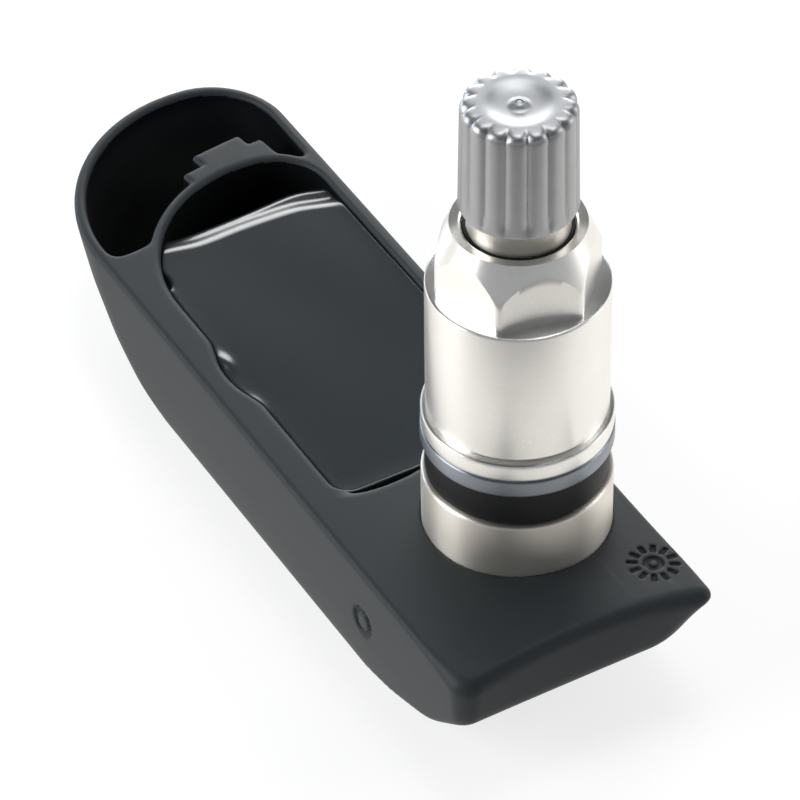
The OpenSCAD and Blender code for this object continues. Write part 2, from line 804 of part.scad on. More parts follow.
housing();
potting_resin();
circuit_board();
battery_cell();
battery_strap_top();
battery_strap_bottom();
pressure_sensor();
port_seal();
control_chip();
clock_crystal();
chip_capacitors();
coil_core();
coil_winding();
antenna_loop();
valve_stem();
grommet();
washer();
nut();
core_body();
core_gasket();
core_pin();
core_cup_seal();
core_spring();
neck_ring();
cap_shell();
cap_gasket();
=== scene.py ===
import math

import bpy
import numpy as np
from mathutils import Matrix, Vector


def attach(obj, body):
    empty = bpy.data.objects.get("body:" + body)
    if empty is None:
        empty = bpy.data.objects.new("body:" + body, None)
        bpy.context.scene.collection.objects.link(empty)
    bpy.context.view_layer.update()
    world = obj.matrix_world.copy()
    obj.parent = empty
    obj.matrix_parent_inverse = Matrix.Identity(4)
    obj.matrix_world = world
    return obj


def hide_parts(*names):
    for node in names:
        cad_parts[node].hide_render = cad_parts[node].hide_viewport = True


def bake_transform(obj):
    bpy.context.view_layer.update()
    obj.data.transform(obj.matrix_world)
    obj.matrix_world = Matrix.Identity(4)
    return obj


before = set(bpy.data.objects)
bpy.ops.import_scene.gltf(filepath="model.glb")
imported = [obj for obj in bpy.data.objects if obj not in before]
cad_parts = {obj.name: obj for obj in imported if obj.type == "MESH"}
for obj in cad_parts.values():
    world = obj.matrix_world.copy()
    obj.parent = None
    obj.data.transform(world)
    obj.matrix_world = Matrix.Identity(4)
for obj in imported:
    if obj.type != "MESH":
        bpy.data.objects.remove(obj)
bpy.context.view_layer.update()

# Lengths are in millimetres until a mesh is made; the frame's origin is on the stem's axis at the deck.
MM = 0.001
GAP = 0.03

# Housing, as in the CAD: heights are counted up from the underside
DECK = 11.8
SIDE_H = 11.3
CROWN = 0.5
LEFT, RIGHT = -14.4, 8.9
MIDDLE = (LEFT + RIGHT) / 2
FRONT, TOE = -15.6, 61.9
TOE_CORNER_R = 7.0
TOE_LEAN = 0.8
WALL = 0.9
FLOOR_T = 1.4
OUTER_EDGE_R, INNER_EDGE_R = 0.5, 1.5

# The hull's levels: how far each is drawn in at the sides, the bow and the toe, and its front corners
LEVEL_Z = [0, 1.136, 3.621, 7.1, 10.95, 11.81]
LEVEL_INSET = [0.6, 0.2, 0.05, 0, 0, 0]
LEVEL_BOW = [17, 12.07, 4.93, 0.17, 0, 0]
LEVEL_TOE = [13.9, 9.452, 5.838, 2.502, 0, 0]
LEVEL_CORNER = [1.6, 1.4, 1.3, 1.5, 2.2, 2.4]
LEVEL_CORNER_RIGHT = [7, 7, 6.8, 5.6, 1.2, 0.9]
LEVEL_SOFTNESS, LEVEL_STEP, LEVEL_TAPS = 0.45, 0.05, 40

# Towards the deck the front edge is drawn in between its corners, and the right corner flares
NEAR_DECK_FROM, NEAR_DECK_RISE = 6.5, 4
FRONT_HOLLOW, CORNER_FORWARD = 0.8, 0.7
FLARE, FLARE_REACH = 0.45, 5
DECK_EDGE_R, FRONT_EDGE_R, FRONT_EDGE_REACH = 0.5, 0.9, 4

# Pocket, the wall round it and the dam that held the resin back
POCKET = dict(x0=-11.3, x1=7.6, y0=9.3, y1=49.9, front_r=1.8, toe_r=5.0)
STRIP = 1.0
NOTCH_Y, NOTCH_DEPTH, NOTCH_HALF, NOTCH_REACH, NOTCH_VALLEY = 26.6, 0.9, 4.0, 3, 0.5
DAM_Y, DAM_T, DAM_TOP = 41.2, 1.2, 9.85
SLOT_X, SLOT_Y, SLOT_HALF_L, SLOT_HALF_W = -6.6, 9.4, 3.8, 1.15
ROOM_FLOOR_R, RIM_R = 0.6, 0.22

# Toe room and the stepped tab that stands on the wall before it
TOE_ROOM_LAP = 1.2
HORN_LEFT_R, HORN_RIGHT_R = 1.5, 0.5
SHARP = 0.01
TAB_X, TAB_SHIFT, TAB_ROOT_Y, TAB_TURN = 1.2, 0.5, 48.9, 8
TAB_W, TAB_SHOULDER, TAB_UNEVEN, TAB_T = 8.2, 1.3, 0.4, 1.5
TAB_STEP, TAB_REACH, TAB_CORNER_R, TAB_EDGE_R = 3.1, 4.6, 0.4, 0.25
TAB_BACK_R, TAB_VALLEY = 0.2, 0.25

# Holes: below the stem, round its root and collar (with GAP about them), and the pressure port
AIR_HOLE_R = 2.2
ROOT_HOLE_R, ROOT_HOLE_DEPTH = 5.53, 7.93
COLLAR_R, COLLAR_SINK = 7.8, 0.4
PORT_X, PORT_Y, PORT_R, PORT_TOP = -4.85, 13.9, 0.8, 2.4

# Moulded marks
MARK_DEPTH = 0.25
DECK_MARK_X, DECK_MARK_Y, DASHES = 6.4, -10.7, 12
DASH_AT_R, DASH_HALF_L, DASH_HALF_W = 1.75, 0.45, 0.22
DECK_RING_R, MARK_HALF_LINE = 0.6, 0.25
SIDE_RING_Y, SIDE_RING_Z, SIDE_RING_R, SIDE_RING_DEPTH = 0.4, 5.9, 1.15, 1.6 * MARK_DEPTH


def paint(code):
    """A colour from its usual six-figure code, as the linear values a shader takes."""
    parts = [int(code[i:i + 2], 16) / 255 for i in (1, 3, 5)]
    return [p / 12.92 if p <= 0.04045 else ((p + 0.055) / 1.055) ** 2.4 for p in parts] + [1.0]


# ---- materials ----

def add(tree, kind, links=None, **values):
    """Adds a node, sets its sockets and settings by name, and links the named sockets."""
    node = tree.nodes.new(kind)
    for name, value in values.items():
        socket = node.inputs.get(name.replace("_", " "))
        if socket is not None:
            socket.default_value = value
        else:
            setattr(node, name, value)
    for name, source in (links or {}).items():
        tree.links.new(source, node.inputs[name])
    return node


def mapped(tree, value, old_range, new_range, **settings):
    """A value carried over from one range to another and held at the ends."""
    node = add(tree, "ShaderNodeMapRange", {"Value": value}, **settings)
    for name, end in zip(("From Min", "From Max", "To Min", "To Max"), (*old_range, *new_range)):
        node.inputs[name].default_value = end
    return node.outputs["Result"]


def noise_scale(size_mm):
    """Noise scale whose blotches are about this many millimetres across."""
    return 1 / (size_mm * MM)


def ring_scale(pitch_mm):
    """Wave scale whose bands are this many millimetres apart."""
    return math.pi / (10 * pitch_mm * MM)


def new_material(name):
    material = bpy.data.materials.new(name)
    material.use_nodes = True
    tree = material.node_tree
    tree.nodes.clear()
    output = tree.nodes.new("ShaderNodeOutputMaterial")
    return material, tree, output


def surface(name, low, high, rough, metal=0.0, blotch=3.0, grain=0.15, relief=0.004, rings=None,
            shine=0.5, spread=0.06, streak=0.8):
    """Two near shades in blotches, a fine grain, and turned rings where a lathe cut them.

    blotch, grain, relief and rings are in millimetres; spread is how far the roughness wanders.
    """
    material, tree, output = new_material(name)
    spot = add(tree, "ShaderNodeTexCoord").outputs["Object"]
    blotches = add(tree, "ShaderNodeTexNoise", {"Vector": spot}, Scale=noise_scale(blotch), Detail=3.0)
    fine = add(tree, "ShaderNodeTexNoise", {"Vector": spot}, Scale=noise_scale(grain), Detail=2.0)
    shade = add(tree, "ShaderNodeMix", {"Factor": blotches.outputs["Fac"]}, data_type="RGBA")
    shade.inputs["A"].default_value = paint(low)
    shade.inputs["B"].default_value = paint(high)
    height = fine.outputs["Fac"]
    if rings:
        turned = add(tree, "ShaderNodeTexWave", {"Vector": spot}, bands_direction="Z",
                     Scale=ring_scale(rings), Distortion=0.6, Detail=1.0)
        height = turned.outputs["Fac"]
    sheen = mapped(tree, fine.outputs["Fac"], (0, 1), (rough - spread, rough + spread))
    bump = add(tree, "ShaderNodeBump", {"Height": height}, Strength=1.0, Distance=relief * MM)
    skin = add(tree, "ShaderNodeBsdfPrincipled", {
        "Base Color": shade.outputs["Result"], "Roughness": sheen,
        "Normal": bump.outputs["Normal"]}, Metallic=metal)
    if rings:
        # The cutter's rings spread a light up and down, not round
        round_axis = add(tree, "ShaderNodeTangent", direction_type="RADIAL", axis="Z")
        tree.links.new(round_axis.outputs[0], skin.inputs["Tangent"])
        skin.inputs["Anisotropic"].default_value = streak
        skin.inputs["Anisotropic Rotation"].default_value = 0.25
    skin.inputs["Specular IOR Level"].default_value = shine
    tree.links.new(skin.outputs["BSDF"], output.inputs["Surface"])
    return material


# Glass-filled nylon: a dark satin that takes a warm grey from the white floor
nylon = surface("glass_filled_nylon", "#2b3033", "#303538", 0.52, blotch=6, grain=0.18, relief=0.006,
                shine=0.25)
# The same nylon inside the hollows, rougher, and darkened nearly to black as painted shade
nylon_painted_shade = surface("nylon_with_painted_shade", "#07090b", "#0a0c0e", 0.7, blotch=6, grain=0.18,
                       relief=0.006, shine=0.1)
# Poured polyurethane: a little darker than the nylon, and glossy, so that its rolled edge shines
resin = surface("poured_polyurethane", "#20272b", "#262d31", 0.215, blotch=8, grain=0.3,
                relief=0.0012, spread=0.02, shine=0.8)
# Turned aluminium of the stem: warm, with rings wide enough to see
stem_metal = surface("turned_aluminium", "#e2ddd3", "#ece8df", 0.42, metal=1, rings=0.28, relief=0.003)
# Bright turned aluminium of the nut: nearly white in the photo
nut_metal = surface("bright_turned_aluminium", "#f3f2ee", "#fbfaf7", 0.3, metal=1, rings=0.11,
                    relief=0.001)
# Zinc-plated steel: a cooler, darker ring between the grommet and the nut
washer_metal = surface("zinc_plated_steel", "#8b9199", "#989ea6", 0.35, metal=1, rings=0.12,
                       relief=0.001)
# Bead-blasted aluminium of the cap: duller than the nut, with soft lights on its ridges
cap_metal = surface("blasted_aluminium", "#aaacae", "#b6b8ba", 0.44, metal=1, blotch=1.5, grain=0.08,
                    relief=0.003)
# Nitrile rubber: the black band under the washer
rubber = surface("nitrile_rubber", "#0b0d0f", "#101214", 0.5, blotch=2, grain=0.1, relief=0.004,
                 shine=0.3)
# Solder mask over glass laminate
laminate = surface("solder_masked_laminate", "#1c5a38", "#22663f", 0.35, blotch=2, grain=0.3,
                   relief=0.003)
# Nickel-plated steel of the cell, and the nickel strip welded to it
cell_steel = surface("nickel_plated_steel", "#b9bbbd", "#c6c8c9", 0.32, metal=1, blotch=3, grain=0.1)
strap_nickel = surface("nickel_strip", "#cbc7bb", "#d4d0c5", 0.25, metal=1, blotch=1, grain=0.08)
# Moulded epoxy of the chips
epoxy = surface("moulded_epoxy", "#17181a", "#1e1f21", 0.6, blotch=1, grain=0.06, relief=0.005)
silicone = surface("red_silicone", "#6d2c26", "#7a332b", 0.5, blotch=1, grain=0.1)
crystal_can = surface("tinned_can", "#b4b6b8", "#c0c2c3", 0.28, metal=1, blotch=1, grain=0.08)
ceramic = surface("fired_ceramic", "#a98a62", "#b8986d", 0.45, blotch=0.5, grain=0.05)
ferrite = surface("sintered_ferrite", "#3c3c40", "#47474b", 0.55, blotch=0.8, grain=0.05, relief=0.006)
# Enamelled copper wire of the coil
copper = surface("enamelled_copper", "#a8582e", "#b96a3a", 0.3, metal=1, blotch=0.4, grain=0.05)
antenna_wire = surface("drawn_brass_wire", "#b9923f", "#c7a14c", 0.3, metal=1, blotch=1, grain=0.05)
# Brass, rubber and spring wire of the valve core
brass = surface("turned_brass", "#b8923c", "#c8a450", 0.28, metal=1, rings=0.08, relief=0.001)
gasket_rubber = surface("red_fluorocarbon_rubber", "#6a2620", "#762c25", 0.5, blotch=0.8, grain=0.06)
spring_steel = surface("stainless_spring_wire", "#b7babd", "#c4c7c9", 0.25, metal=1, blotch=0.4,
                       grain=0.05)

NODE_SURFACE = {
    "circuit_board": laminate, "battery_cell": cell_steel, "battery_strap_top": strap_nickel,
    "battery_strap_bottom": strap_nickel, "pressure_sensor": epoxy, "port_seal": silicone,
    "control_chip": epoxy, "clock_crystal": crystal_can, "chip_capacitors": ceramic,
    "coil_core": ferrite, "coil_winding": copper, "antenna_loop": antenna_wire,
    "core_body": brass, "core_gasket": gasket_rubber, "core_pin": brass, "core_cup_seal": rubber,
    "core_spring": spring_steel, "neck_ring": rubber, "cap_gasket": rubber,
}
for node_name, node_surface in NODE_SURFACE.items():
    node_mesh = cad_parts[node_name].data
    node_mesh.materials.clear()
    node_mesh.materials.append(node_surface)


# ---- meshes ----

def new_object(name, data):
    obj = bpy.data.objects.new(name, data)
    bpy.context.scene.collection.objects.link(obj)
    return obj


def place(name, points, faces, material, crease=None):
    """A smooth-shaded mesh object at the origin, from millimetre points in the frame."""
    mesh = bpy.data.meshes.new(name)
    mesh.from_pydata((np.asarray(points, float) * MM).tolist(), [], faces)
    mesh.validate()
    mesh.materials.append(material)
    mesh.polygons.foreach_set("use_smooth", [True] * len(mesh.polygons))
    if crease is not None:
        mesh.set_sharp_from_angle(angle=math.radians(crease))
    return new_object(name, mesh)


def applied(obj, modifier):
    """The mesh that the object's modifier makes of it; the object itself goes."""
    mesh = bpy.data.meshes.new_from_object(obj.evaluated_get(bpy.context.evaluated_depsgraph_get()))
    obj.modifiers.remove(modifier)
    bpy.data.objects.remove(obj)
    return mesh


def stands_for(obj, body, slot, *nodes):
    """Hangs a piece on the body it rides and hides the nodes it takes the place of; its slot is not used."""
    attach(obj, body)
    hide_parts(*nodes)


def eased(outline, steps=4, most=0.45):
    """Rounds the corners of a closed outline of (r, z, radius) points, each by no more than a share
    of its two sides."""
    out = []
    n = len(outline)
    for i, (r, z, radius) in enumerate(outline):
        here = np.array([r, z], float)
        if radius <= 0:
            out.append(here)
            continue
        back = np.array(outline[i - 1][:2], float) - here
        ahead = np.array(outline[(i + 1) % n][:2], float) - here
        cut = min(radius, most * np.hypot(*back), most * np.hypot(*ahead))
        start = here + back / np.hypot(*back) * cut
        end = here + ahead / np.hypot(*ahead) * cut
        for t in np.linspace(0, 1, steps + 1):
            out.append((1 - t) ** 2 * start + 2 * t * (1 - t) * here + t * t * end)
    return out


def loft(name, rings, material, sides, turn=0.0, crease=35):
    """Skins rings of (radii round the axis, heights round the axis); the last ring joins the first."""
    angles = np.radians(turn + 360 * np.arange(sides) / sides)
    points = []
    for radii, heights in rings:
        r = np.broadcast_to(radii, sides)
        z = np.broadcast_to(heights, sides)
        points.append(np.c_[r * np.cos(angles), r * np.sin(angles), z])
    faces = []
    for i in range(len(rings)):
        j = (i + 1) % len(rings)
        for k in range(sides):
            m = (k + 1) % sides
            faces.append((i * sides + k, i * sides + m, j * sides + m, j * sides + k))
    return place(name, np.vstack(points), faces, material, crease=crease)


def lathe(name, outline, material, sides=128):
    """Turns a closed outline, drawn anticlockwise with r to the right, about the axis."""
    return loft(name, [(r, z) for r, z in eased(outline)], material, sides)


# ---- solids as distances ----

def round_max(a, b, r):
    """Overlap of two distances whose shared edge is rounded to radius r."""
    corner = np.hypot(np.maximum(a + r, 0), np.maximum(b + r, 0))
    return np.minimum(-r, np.maximum(a, b)) + corner


def smooth_min(a, b, k):
    """Join of two distances with a soft valley about k wide."""
    h = np.clip(0.5 + 0.5 * (b - a) / k, 0, 1)
    return b + (a - b) * h - k * h * (1 - h)


def boat(x, y, x0, x1, y0, y1, front_r, toe_r, right_r=None):
    """Distance to the plan: two front corners, then a toe of two arcs that meet on one tangent."""
    wide_r = x1 - x0 - toe_r - TOE_LEAN
    rise = np.sqrt(np.maximum((wide_r - toe_r) ** 2 - TOE_LEAN ** 2, 0))
    out = np.maximum(np.maximum(x0 - x, x - x1), y0 - y)
    right_r = front_r if right_r is None else right_r
    for corner_x, side, r in ((x0 + front_r, -1, front_r), (x1 - right_r, 1, right_r)):
        near = ((x - corner_x) * side > 0) & (y < y0 + r)
        out = np.where(near, np.hypot(x - corner_x, y - y0 - r) - r, out)
    wide_x, wide_y = x0 + wide_r, y1 - wide_r
    tight_x, tight_y = x1 - toe_r, wide_y + rise
    beyond = TOE_LEAN * (y - wide_y) - rise * (x - wide_x) > 0
    out = np.where(beyond & (y > wide_y), np.hypot(x - wide_x, y - wide_y) - wide_r, out)
    return np.where(~beyond & (y > tight_y), np.hypot(x - tight_x, y - tight_y) - toe_r, out)


def box_2d(x, y, x0, x1, y0, y1, r):
    """Distance to a rectangle with rounded corners."""
    u = np.abs(x - (x0 + x1) / 2) - (x1 - x0) / 2 + r
    v = np.abs(y - (y0 + y1) / 2) - (y1 - y0) / 2 + r
    return np.hypot(np.maximum(u, 0), np.maximum(v, 0)) + np.minimum(np.maximum(u, v), 0) - r


def soft_line(at, xs, ys, fine, step, taps, softness):
    """The line through the given points, its bends eased, read off at the given places.

    It is sampled on the even steps of fine and blurred over taps of them to either side.
    """
    kernel = np.exp(-0.5 * (np.arange(-taps, taps + 1) * step / softness) ** 2)
    padded = np.pad(np.interp(fine, xs, ys), taps, mode="edge")
    return np.interp(at, fine, np.convolve(padded, kernel / kernel.sum(), mode="valid"))


def level_value(z, values):
    """A level's value at height z, with the bends between levels eased."""
    fine = np.arange(-3, SIDE_H + 4, LEVEL_STEP)
    return soft_line(z, LEVEL_Z, values, fine, LEVEL_STEP, LEVEL_TAPS, LEVEL_SOFTNESS)


def hull_form(x, y, z, zs, shrink=0.0, base=0.0, bottom_r=OUTER_EDGE_R):
    """The housing's outer form, or its inner one when drawn inwards by shrink from height base up."""
    level = (z - base) / (1 - base / SIDE_H)
    inset = shrink + level_value(level, LEVEL_INSET)
    across = np.clip((x - MIDDLE) / (RIGHT - MIDDLE), -1, 1)
    near_deck = np.clip((level - NEAR_DECK_FROM) / NEAR_DECK_RISE, 0, 1)
    forward = CORNER_FORWARD * np.clip(across, 0, 1) ** 4
    hollow = (FRONT_HOLLOW * (1 - across ** 2) - forward) * near_deck
    flare = FLARE * np.exp(-((y - FRONT) / FLARE_REACH) ** 2) * near_deck
    plan = boat(x, y, LEFT + inset, RIGHT - inset + flare,
                FRONT + level_value(level, LEVEL_BOW) + hollow + shrink,
                TOE - level_value(level, LEVEL_TOE) - inset,
                level_value(level, LEVEL_CORNER), TOE_CORNER_R - inset,
                level_value(level, LEVEL_CORNER_RIGHT))
    slope = np.gradient(plan, zs, axis=2)
    return round_max(plan / np.hypot(1, slope), base - z, bottom_r)


def crown(x, z):
    """Height above the deck, which is an arc across the housing."""
    half_span = 14
    r = ((RIGHT - LEFT) ** 2 / 4 + CROWN ** 2) / (2 * CROWN)
    return z - (DECK - r + np.sqrt(r ** 2 - np.clip(x - MIDDLE, -half_span, half_span) ** 2))


def pocket_plan(x, y, gap=0.0):
    """The pocket that holds the resin, with the shallow notch in its left side."""
    p = POCKET
    out = boat(x, y, p["x0"] + gap, p["x1"] - gap, p["y0"] + gap, p["y1"] - gap, p["front_r"],
               p["toe_r"] - gap)
    r = (NOTCH_HALF ** 2 + NOTCH_DEPTH ** 2) / (2 * NOTCH_DEPTH)
    notch = np.hypot(x - (p["x0"] - NOTCH_DEPTH + r), y - NOTCH_Y) - r + gap
    return smooth_min(out, np.maximum(notch, x - p["x0"] - NOTCH_REACH), NOTCH_VALLEY)


def toe_wall_plan(x, y):
    """All that the toe's wall takes in, from the pocket's end on."""
    return boat(x, y, LEFT + WALL, RIGHT - WALL, POCKET["y1"] - TOE_ROOM_LAP, TOE - WALL, SHARP,
                TOE_CORNER_R - WALL)


def toe_room_plan(x, y):
    """The crescent between the toe's wall and the pocket's, its left horn rounder than its right."""
    p = POCKET
    inner = boat(x, y, p["x0"] - STRIP, p["x1"] + STRIP, p["y0"], p["y1"] + STRIP, p["front_r"],
                 p["toe_r"] + STRIP)
    wedge = np.maximum(toe_wall_plan(x, y), -inner)
    return np.where(x < TAB_X, rolled_in(x, y, wedge, HORN_LEFT_R), rolled_in(x, y, wedge, HORN_RIGHT_R))


def rolled_in(x, y, plan, r):
    """A plan whose corners are rounded as a disc of radius r rolled round inside it leaves them."""
    xs, ys = x[:, 0, 0], y[0, :, 0]
    core = plan[:, :, 0] + r
    border = []
    for axis, steps in ((0, xs), (1, ys)):
        a = core[:-1, :] if axis == 0 else core[:, :-1]
        b = core[1:, :] if axis == 0 else core[:, 1:]
        i, j = np.nonzero((a < 0) != (b < 0))
        part = a[i, j] / (a[i, j] - b[i, j])
        k = i if axis == 0 else j
        moved = steps[k] + part * (steps[k + 1] - steps[k])
        border.append(np.c_[moved, ys[j]] if axis == 0 else np.c_[xs[i], moved])
    reach = np.full(core.shape, np.inf)
    for px, py in np.vstack(border):
        reach = np.minimum(reach, (xs[:, None] - px) ** 2 + (ys[None, :] - py) ** 2)
    return np.where(core < 0, core, np.sqrt(reach))[:, :, None] - r


def grid(*bands):
    """Grid lines from (start, end, step) bands laid end to end."""
    lines = [np.arange(a, b - step / 2, step) for a, b, step in bands]
    return np.concatenate(lines + [[bands[-1][1]]])


def surface_net(field, lines):
    """Points and four-cornered faces of the closed surface where a field on a grid is zero."""
    cells = tuple(len(a) - 1 for a in lines)
    total = np.zeros((int(np.prod(cells)), 3))
    hits = np.zeros(len(total))
    crossings = []
    for axis in range(3):
        low = [slice(None)] * 3
        high = [slice(None)] * 3
        low[axis] = slice(0, -1)
        high[axis] = slice(1, None)
        a, b = field[tuple(low)], field[tuple(high)]
        at = np.argwhere((a < 0) != (b < 0))
        fa, fb = a[tuple(at.T)], b[tuple(at.T)]
        spot = np.stack([lines[k][at[:, k]] for k in range(3)], 1)
        spot[:, axis] += fa / (fa - fb) * (lines[axis][at[:, axis] + 1] - lines[axis][at[:, axis]])
        u, v = (axis + 1) % 3, (axis + 2) % 3
        corners = []
        for du, dv in ((-1, -1), (0, -1), (0, 0), (-1, 0)):
            cell = at.copy()
            cell[:, u] += du
            cell[:, v] += dv
            flat = np.ravel_multi_index(cell.T, cells)
            corners.append(flat)
            for k in range(3):
                total[:, k] += np.bincount(flat, spot[:, k], len(hits))
            hits += np.bincount(flat, minlength=len(hits))
        quad = np.stack(corners, 1)
        crossings.append(np.where((fa < 0)[:, None], quad, quad[:, ::-1]))
    used = np.flatnonzero(hits)
    number = np.zeros(len(hits), int)
    number[used] = np.arange(len(used))
    return total[used] / hits[used, None], number[np.vstack(crossings)].tolist()


def slope_at(points, field, lines):
    """Unit slope of the field at each point, which is the surface's normal there."""
    slopes = np.stack(np.gradient(field, *lines), 3)
    low, part = [], []
    for k in range(3):
        i = np.clip(np.searchsorted(lines[k], points[:, k]) - 1, 0, len(lines[k]) - 2)
        low.append(i)
        part.append((points[:, k] - lines[k][i]) / (lines[k][i + 1] - lines[k][i]))
    out = np.zeros_like(points)
    for i in (0, 1):
        for j in (0, 1):
            for k in (0, 1):
                w = 1.0
                for p, bit in zip(part, (i, j, k)):
                    w = w * (p if bit else 1 - p)
                out += w[:, None] * slopes[low[0] + i, low[1] + j, low[2] + k]
    return out / np.maximum(np.linalg.norm(out, axis=1, keepdims=True), 1e-9)


def skin_of(name, field_of, lines, material, keep):
    """The closed surface of a form, thinned to a share of its faces and shaded by its slope.

    The form's heights are counted from the underside, the skin's from the deck.
    """
    field = field_of(lines)
    lines = [lines[0], lines[1], lines[2] - DECK]
    rough = place(name + "_rough", *surface_net(field, lines), material)
    thinner = rough.modifiers.new("thinner", "DECIMATE")
    thinner.ratio = keep
    mesh = applied(rough, thinner)
    mesh.name = name
    co = np.zeros(len(mesh.vertices) * 3)
    mesh.vertices.foreach_get("co", co)
    mesh.polygons.foreach_set("use_smooth", [True] * len(mesh.polygons))
    mesh.normals_split_custom_set_from_vertices(slope_at(co.reshape(-1, 3) / MM, field, lines))
    return new_object(name, mesh)


# ---- housing ----

def dam(y, z, inner):
    """The low wall across the pocket that held the liquid resin back."""
    slab = np.maximum(np.abs(y - DAM_Y - DAM_T / 2) - DAM_T / 2, z - DAM_TOP)
    return np.maximum(np.maximum(slab, inner - WALL / 2), -z + FLOOR_T / 2)


def tab(x, y, z):
    """The two-step tab in the toe room, turned a little, its left side less even than its right."""
    turn = math.radians(TAB_TURN)
    u, v = x - TAB_X - TAB_SHIFT, y - TAB_ROOT_Y
    along = u * math.cos(turn) + v * math.sin(turn)
    out = -u * math.sin(turn) + v * math.cos(turn)
    half, narrow = TAB_W / 2, TAB_W / 2 - TAB_SHOULDER
    plan = np.minimum(box_2d(along, out, -half - TAB_UNEVEN, half, 0, TAB_STEP, TAB_CORNER_R),
                      box_2d(along, out, TAB_UNEVEN - narrow, narrow, 0, TAB_REACH, TAB_CORNER_R))
    plan = round_max(plan, -pocket_plan(x, y), TAB_BACK_R)
    return round_max(plan, SIDE_H - TAB_T - z, TAB_EDGE_R)


def deck_mark(x, y, z):
    """Twelve short dashes about a small ring, pressed into the deck."""
    u, v = x - DECK_MARK_X, y - DECK_MARK_Y
    r = np.hypot(u, v)
    step = 2 * math.pi / DASHES
    swing = (np.arctan2(v, u) + step / 2) % step - step / 2
    dash = np.maximum(np.abs(r * np.sin(swing)) - DASH_HALF_W, np.abs(r - DASH_AT_R) - DASH_HALF_L)
    ring = np.abs(r - DECK_RING_R) - MARK_HALF_LINE
    return np.maximum(np.minimum(dash, ring), -crown(x, z) - MARK_DEPTH)


def side_mark(x, y, z):
    """A small ring pressed into the left wall."""
    ring = np.abs(np.hypot(y - SIDE_RING_Y, z - SIDE_RING_Z) - SIDE_RING_R) - MARK_HALF_LINE
    return np.maximum(ring, x - LEFT - SIDE_RING_DEPTH)


def openings(x, y, z):
    """All that is cut from the housing: the stem's holes, the pressure port and the marks."""
    radius = np.hypot(x, y)
    cut = np.minimum(np.maximum(radius - AIR_HOLE_R, z - DECK),
                     np.maximum(radius - ROOT_HOLE_R, DECK - ROOT_HOLE_DEPTH - z))
    cut = np.minimum(cut, np.maximum(radius - COLLAR_R - GAP, DECK - COLLAR_SINK - z))
    cut = np.minimum(cut, np.maximum(np.hypot(x - PORT_X, y - PORT_Y) - PORT_R, z - PORT_TOP))
    cut = np.minimum(cut, deck_mark(x, y, z))
    return np.minimum(cut, side_mark(x, y, z))


def housing_field(lines):
    x, y, z = np.meshgrid(*lines, indexing="ij", sparse=True)
    solid = hull_form(x, y, z, lines[2])
    inner = hull_form(x, y, z, lines[2], WALL, FLOOR_T, INNER_EDGE_R)
    # A thin lens of room is left in front of the resin, on the left of the collar
    slot = (np.hypot((x - SLOT_X) / SLOT_HALF_L, (y - SLOT_Y) / SLOT_HALF_W) - 1) * SLOT_HALF_W
    plan = np.minimum(np.minimum(pocket_plan(x, y), slot), toe_room_plan(x, y))
    room = round_max(inner, plan, ROOM_FLOOR_R)
    solid = round_max(solid, -room, RIM_R)
    solid = np.minimum(solid, dam(y, z, inner))
    solid = smooth_min(solid, tab(x, y, z), TAB_VALLEY)
    # The deck's front edge is rounder than the rest
    edge_r = DECK_EDGE_R + FRONT_EDGE_R * np.exp(-((y - FRONT) / FRONT_EDGE_REACH) ** 2)
    solid = round_max(solid, crown(x, z), edge_r)
    return np.maximum(solid, -openings(x, y, z))


def face_values(mesh, what):
    """A vector of each face, such as its middle, as rows."""
    values = np.zeros(len(mesh.polygons) * 3)
    mesh.polygons.foreach_get(what, values)
    return values.reshape(-1, 3)


def paint_hollow_shade(mesh):
    """Gives the faces inside the pocket and the toe room, below their rims, the near-black nylon of painted
    shade.
    """
    rim, skin, floor_skin = 0.4, 0.05, 0.1
    x, y, z = (face_values(mesh, "center") / MM).T
    inward = face_values(mesh, "normal")[:, 2] > -skin
    in_toe = (toe_wall_plan(x, y) < skin) & inward
    below_rim = crown(x, z + DECK) < -rim
    above_underside = z > FLOOR_T - DECK - floor_skin
    # Painted shade: the faces deep in the pocket and the toe room are made nearly black
    deep = below_rim & above_underside & ((pocket_plan(x, y) < skin) | in_toe)
    mesh.materials.append(nylon_painted_shade)
    mesh.polygons.foreach_set("material_index", deep.astype(int).tolist())


housing_lines = [
    grid((-14.8, 4.1, 0.2), (4.1, 9.7, 0.11), (9.7, 10.1, 0.2)),
    grid((-17.2, -13.3, 0.22), (-13.3, -8.2, 0.11), (-8.2, 10.2, 0.25), (10.2, 40.8, 0.34),
         (40.8, 62.4, 0.2)),
    grid((-0.6, 4.2, 0.28), (4.2, 10.8, 0.2), (10.8, 12.3, 0.11)),
]
HOUSING_KEEP = 0.3
housing = skin_of("housing_moulding", housing_field, housing_lines, nylon, HOUSING_KEEP)
# The pocket and the toe room get painted shade
paint_hollow_shade(housing.data)
stands_for(housing, "sensor", "nylon", "housing")


# ---- resin ----

RESIN_TOP = 10.95
# Where the resin's rolled edge lies, left to right, and the lower roll that shows beyond it
ROLL_X = [-11.5, -8.5, -5.9, -1.5, 3.8, 7.9]
ROLL_Y = [46.2, 46.0, 45.3, 45.4, 45.1, 43.6]
LOWER_X = [-11.5, -6.5, 0, 5.0, 8.1]
LOWER_Y = [46.7, 46.0, 46.1, 46.4, 45.2]
ROLL_R, LOWER_R, LOWER_DOWN, ROLL_VALLEY, RESIN_EDGE_R = 2.6, 1.5, 0.45, 0.45, 0.1
ROLL_SOFTNESS, ROLL_STEP, ROLL_TAPS = 0.9, 0.1, 25
# The resin climbs the walls a little, and it has two small blobs at the notch's ends
CLIMB, CLIMB_REACH = 0.07, 0.8
BLOBS = [(-11.4, 28.8), (-11.9, 22.6)]
BLOB_H, BLOB_HALF_X, BLOB_HALF_Y = 0.2, 0.6, 1.1
# A burst bubble left a pit at the left edge
PIT, PIT_HALF = (-11.0, 40.6, RESIN_TOP + 0.1), (0.7, 1.4, 0.7)


